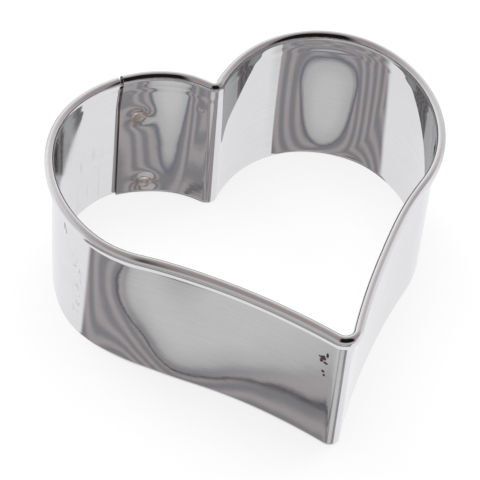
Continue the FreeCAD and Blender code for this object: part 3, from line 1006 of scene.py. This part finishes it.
# The cloth: between which azimuths its slanting left side and its right side come in, from where to where
# it hangs, and its pleats, which run round two ovals, each with its middle, half width and half height
CLOTH_LEFT = (-100, -94)
CLOTH_SLANT = 2.5
CLOTH_SLANT_HEIGHT = -47.5
CLOTH_RIGHT = (27, 29)
CLOTH_HEIGHT = (-62, -40, 1)
PLEAT_OVALS = [(-29.0, -47.5, 21.5, 2.35), (-64.0, -53.0, 22.0, 1.8)]
PLEAT_RATE = 13
PLEAT_SLANT = 0.12
PLEAT_SWAY = 6
PLEAT_DARK = colour(0.23, 0.225, 0.235)
PLEAT_LIGHT = colour(0.39, 0.36, 0.36)

# The diffusers: each one's oval and its taper, then, in half widths of it, where its sheen begins to fade,
# where the dark seam round it runs and half of that seam's width, and the tone of the seam
DIFFUSERS = [
    (-29.0, -47.5, 25.0, 2.35, 0.4, 0.9, 1.12, 0.05, 0.15),
    (-64.0, -53.0, 22.0, 1.8, 0.0, 0.75, 1.26, 0.038, 0.03),
    (-20.0, -54.6, 24.0, 2.4, 0.0, 0.9, 1.1, 0.04, 0.2),
]
SHEEN_FALL = (0.3, 1.0)
SHEEN_LIGHT = colour(0.62, 0.62, 0.615)
SHEEN_DULL = colour(0.5, 0.5, 0.495)
SEAM_GAP = 0.04
SEAM_TINT = (1.0, 1.05, 1.3)

# How strongly the room lights what isn't mirrored, and what a second reflection loses
ROOM_FILL = 0.45
SECOND_BOUNCE = (1.2, 1.8)
SECOND_LOSS = 0.42


def mirrored_room(finish):
    """The colour of the room each way, as the steel mirrors it."""
    look = finish.node("ShaderNodeTexCoord", out="Generated")
    x, y, z = (finish.node("ShaderNodeSeparateXYZ", None, {0: look}, axis) for axis in "XYZ")
    azimuth = finish.math("ARCTAN2", x, 0 - y) * DEGREES
    elevation = finish.math("ARCSINE", z) * DEGREES
    drape = finish.grain(look, *DRAPE_GRAIN)

    middle = way_to(*(math.radians(angle) for angle in CEILING_MIDDLE))
    dot = {"operation": "DOT_PRODUCT"}
    towards = finish.node("ShaderNodeVectorMath", dot, {0: look, 1: middle}, "Value")
    away = finish.math("ARCCOSINE", towards) * DEGREES
    ceiling = finish.blend(away.above(*CEILING_REACH), CEILING_MAUVE, WHITE)
    room = finish.blend(elevation.above(*HORIZON), BELOW, ceiling)

    panels = finish.math("SINE", azimuth * math.radians(SIDE_PANELS) + drape * SIDE_SWAY)
    sides = finish.blend(panels.above(-1, 1), SIDE_GREY, SIDE_WHITE)
    room = finish.blend(elevation.between(*SIDE_HEIGHT), room, sides)
    room = finish.blend(zone(azimuth, elevation, *DIM_FRONT), room, FRONT_GREY)

    reach = finish.math("MINIMUM", *(oval(azimuth, elevation, *shape) for shape in PLEAT_OVALS))
    pleats = finish.math("SINE", reach * PLEAT_RATE - azimuth * PLEAT_SLANT + drape * PLEAT_SWAY)
    cloth = finish.blend(pleats.above(-1, 1), PLEAT_DARK, PLEAT_LIGHT)
    slanted = azimuth - (elevation - CLOTH_SLANT_HEIGHT) * CLOTH_SLANT
    hung = slanted.above(*CLOTH_LEFT) * (1 - azimuth.above(*CLOTH_RIGHT))
    room = finish.blend(hung * elevation.between(*CLOTH_HEIGHT), room, cloth)

    for *shape, fade, seam, width, tone in DIFFUSERS:
        spread = oval(azimuth, elevation, *shape)
        dark = spread.between(seam - width, seam + width, width)
        room = finish.blend(dark, room, colour(*(tone * part for part in SEAM_TINT)))
        sheen = finish.blend(spread.above(*SHEEN_FALL), SHEEN_LIGHT, SHEEN_DULL)
        room = finish.blend(spread.above(fade, seam - SEAM_GAP), sheen, room)
    return finish.blend(zone(azimuth, elevation, *CAMERA_END), room, CAMERA_END_DARK)


def light_room():
    """A white room for the eye, which lights the table more weakly and is dimmer when mirrored twice."""
    world = bpy.data.worlds.new("room")
    bpy.context.scene.world = world
    finish = Finish(world)
    eye = finish.light_path("Is Camera Ray")
    seen = eye + finish.light_path("Is Glossy Ray") + finish.light_path("Is Transmission Ray")
    again = finish.light_path("Glossy Depth").above(*SECOND_BOUNCE)
    strength = (ROOM_FILL + seen * (1 - ROOM_FILL)) * (1 - again * SECOND_LOSS)
    room = finish.blend(eye, mirrored_room(finish), WHITE)
    glow = finish.node("ShaderNodeBackground", None, {"Color": room, "Strength": strength})
    finish.node("ShaderNodeOutputWorld", None, {"Surface": glow})


steel = bright_steel()
weld_finish = weld_metal()
make_strip(steel)
for weld in WELDS:
    make_nugget(weld, weld_finish)
make_camera()
make_table()
for softbox in SOFTBOXES:
    make_softbox(*softbox)
light_room()
bpy.context.scene.view_settings.view_transform = "Standard"
